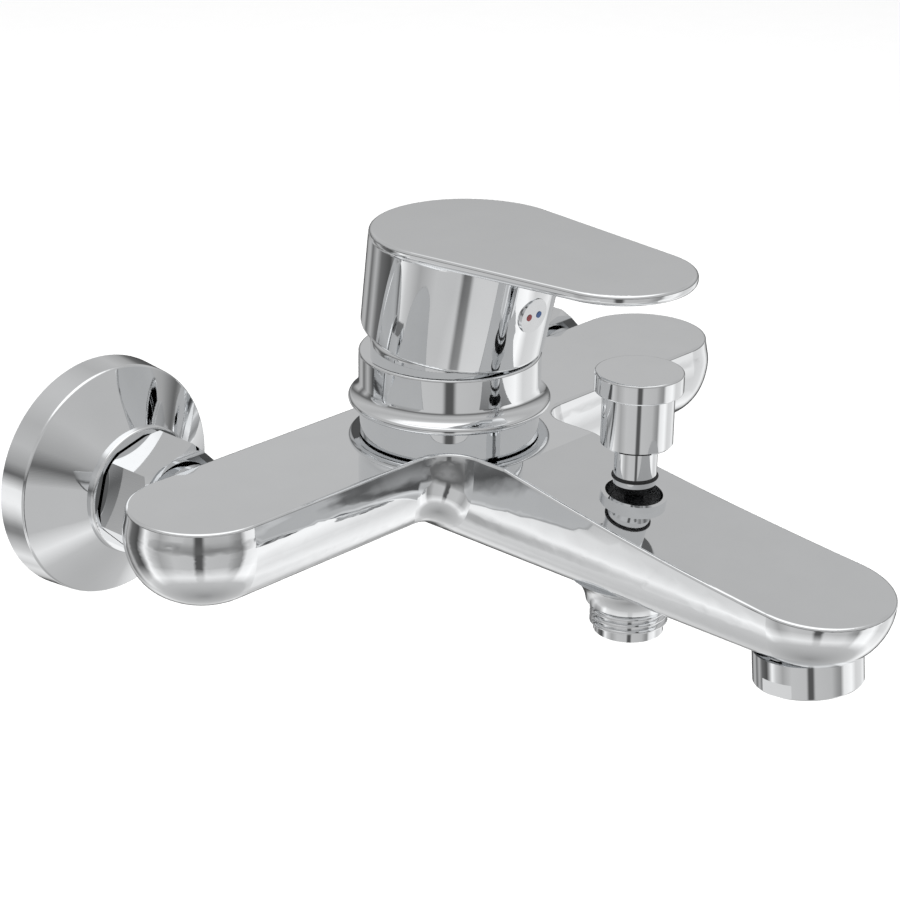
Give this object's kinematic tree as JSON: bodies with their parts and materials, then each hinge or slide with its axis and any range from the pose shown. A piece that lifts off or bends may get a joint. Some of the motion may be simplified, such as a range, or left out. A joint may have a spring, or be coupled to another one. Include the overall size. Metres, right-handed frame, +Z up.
{
  "type": "wall mounted bath faucet",
  "caption": "Single lever wall mounted bath and shower mixer faucet in chrome, with a pull knob diverter, sloping spout, shower outlet and wall escutcheons.",
  "frame": {"origin": "on the wall plane, midway between the axes of the two wall threads", "axes": "+X to the right along the wall, +Y into the wall, +Z up; the spout points along -Y"},
  "size_m": [0.218, 0.2192, 0.1006],
  "materials": {
    "chrome": "mirror polished chrome plate over cast brass",
    "index_chrome": "polished chrome plate",
    "brass": "machined",
    "steel": "machined stainless steel",
    "cartridge_plastic": "moulded, satin",
    "black_plastic": "moulded, satin",
    "aerator_plastic": "moulded, satin",
    "disc_ceramic": "lapped",
    "seal_rubber": "moulded",
    "hot_red": "enamelled dot",
    "cold_blue": "enamelled dot"
  },
  "bodies": {
    "faucet_body": {"body_casting": "chrome", "collar_shroud": "chrome", "shower_outlet_nipple": "chrome", "aerator_housing": "chrome", "inlet_nipple_left": "chrome", "inlet_nipple_right": "chrome", "wall_union_left": "chrome", "wall_union_right": "chrome", "union_nut_left": "chrome", "union_nut_right": "chrome", "escutcheon_left": "chrome", "escutcheon_right": "chrome", "cartridge_retaining_nut": "brass", "diverter_gland": "black_plastic", "aerator_screen": "steel", "inlet_strainer_left": "steel", "inlet_strainer_right": "steel", "cartridge_housing": "cartridge_plastic", "cartridge_base": "cartridge_plastic", "aerator_insert": "aerator_plastic", "fixed_ceramic_disc": "disc_ceramic", "collar_o_ring": "seal_rubber", "cartridge_port_seals": "seal_rubber", "gland_o_ring": "seal_rubber", "outlet_o_ring": "seal_rubber", "aerator_washer": "seal_rubber", "union_washer_left": "seal_rubber", "union_washer_right": "seal_rubber", "escutcheon_seal_left": "seal_rubber", "escutcheon_seal_right": "seal_rubber"},
    "rotor": {"cartridge_rotor": "cartridge_plastic", "lever_pivot_pin": "steel"},
    "handle": {"lever_handle": "chrome", "lever_stem": "steel", "handle_set_screw": "steel", "index_plug": "index_chrome", "index_dot_hot": "hot_red", "index_dot_cold": "cold_blue"},
    "disc_carriage": {"disc_carrier": "cartridge_plastic", "moving_ceramic_disc": "disc_ceramic"},
    "diverter": {"diverter_knob": "chrome", "knob_set_screw": "steel", "diverter_stem": "chrome", "stem_o_ring": "seal_rubber", "diverter_valve": "brass", "valve_seals": "seal_rubber"}
  },
  "joints": [
    {"name": "temperature_swivel", "type": "hinge", "parent": "faucet_body", "child": "rotor", "pos_m": [0, -0.0614, 0.041], "axis": [0, 0, 1], "range_deg": [-50, 50]},
    {"name": "handle_lift", "type": "hinge", "parent": "rotor", "child": "handle", "pos_m": [0, -0.0614, 0.041], "axis": [-1, 0, 0], "range_deg": [0, 20]},
    {"name": "disc_slide", "type": "slide", "parent": "rotor", "child": "disc_carriage", "axis": [0, -1, 0], "range_m": [0, 0.00383]},
    {"name": "diverter_pull", "type": "slide", "parent": "faucet_body", "child": "diverter", "axis": [0, 0, 1], "range_m": [-0.0065, 0]}
  ],
  "couplings": [
    {"joint": "disc_slide", "follows": "handle_lift", "m_per_rad": 0.010944}
  ]
}
